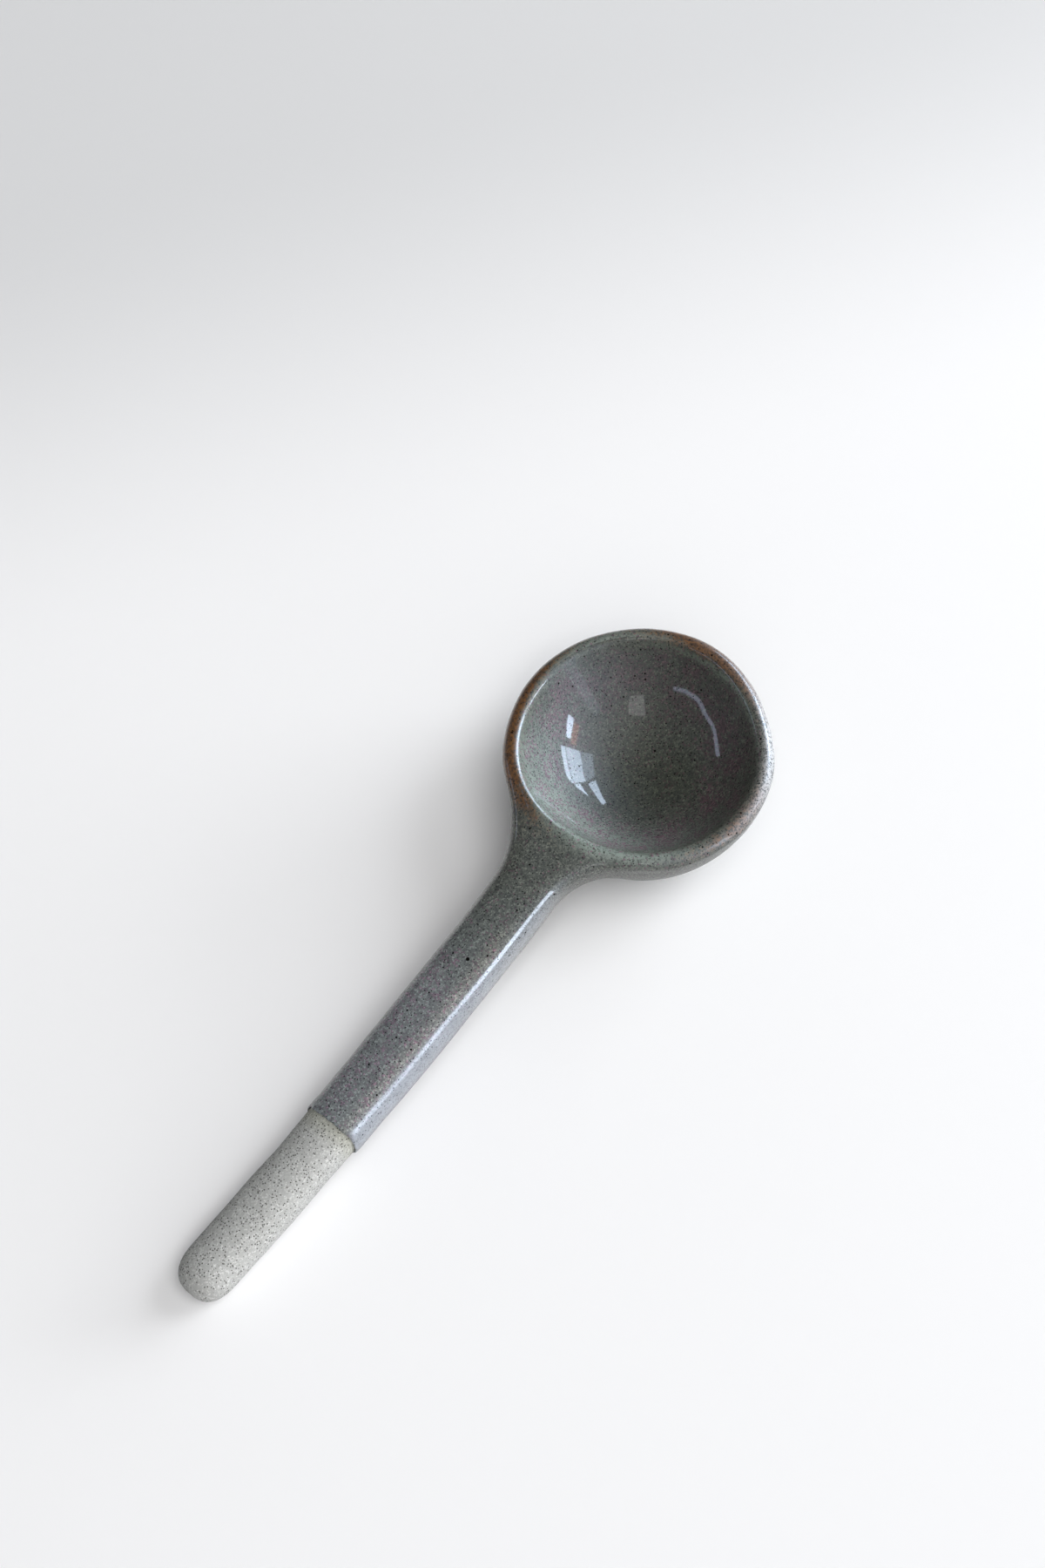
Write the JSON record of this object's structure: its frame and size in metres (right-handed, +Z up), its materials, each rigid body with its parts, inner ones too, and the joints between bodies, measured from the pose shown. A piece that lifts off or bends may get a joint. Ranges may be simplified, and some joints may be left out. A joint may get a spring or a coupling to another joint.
{
  "type": "stoneware spoon",
  "caption": "Hand-built stoneware spoon with a round open bowl and a straight rolled handle, dipped in glossy glaze up to a bare clay handle end.",
  "frame": {"origin": "middle of the bowl's flat foot, on the surface that the spoon lies on", "axes": "+X along the handle to its bare end, +Y across the handle, +Z up out of the bowl"},
  "size_m": [0.1389, 0.0459, 0.0204],
  "materials": {
    "bowl_clay": "bare stoneware, matt and gritty",
    "handle_clay": "bare stoneware, matt and gritty",
    "neck_clay": "bare stoneware under the glaze",
    "slip": "fired slip inside the join",
    "lining_glaze": "glossy speckled grey-green glaze, pooled",
    "rim_glaze": "glossy glaze, thin and iron brown",
    "outer_glaze": "glossy speckled grey-green glaze",
    "handle_glaze": "glossy speckled grey glaze with a mauve cast"
  },
  "bodies": {
    "root": {"bowl": "bowl_clay", "handle": "handle_clay", "neck_fillet": "neck_clay", "slip_seam": "slip", "lining_glaze": "lining_glaze", "rim_glaze": "rim_glaze", "outer_glaze": "outer_glaze", "handle_glaze": "handle_glaze"}
  },
  "joints": []
}
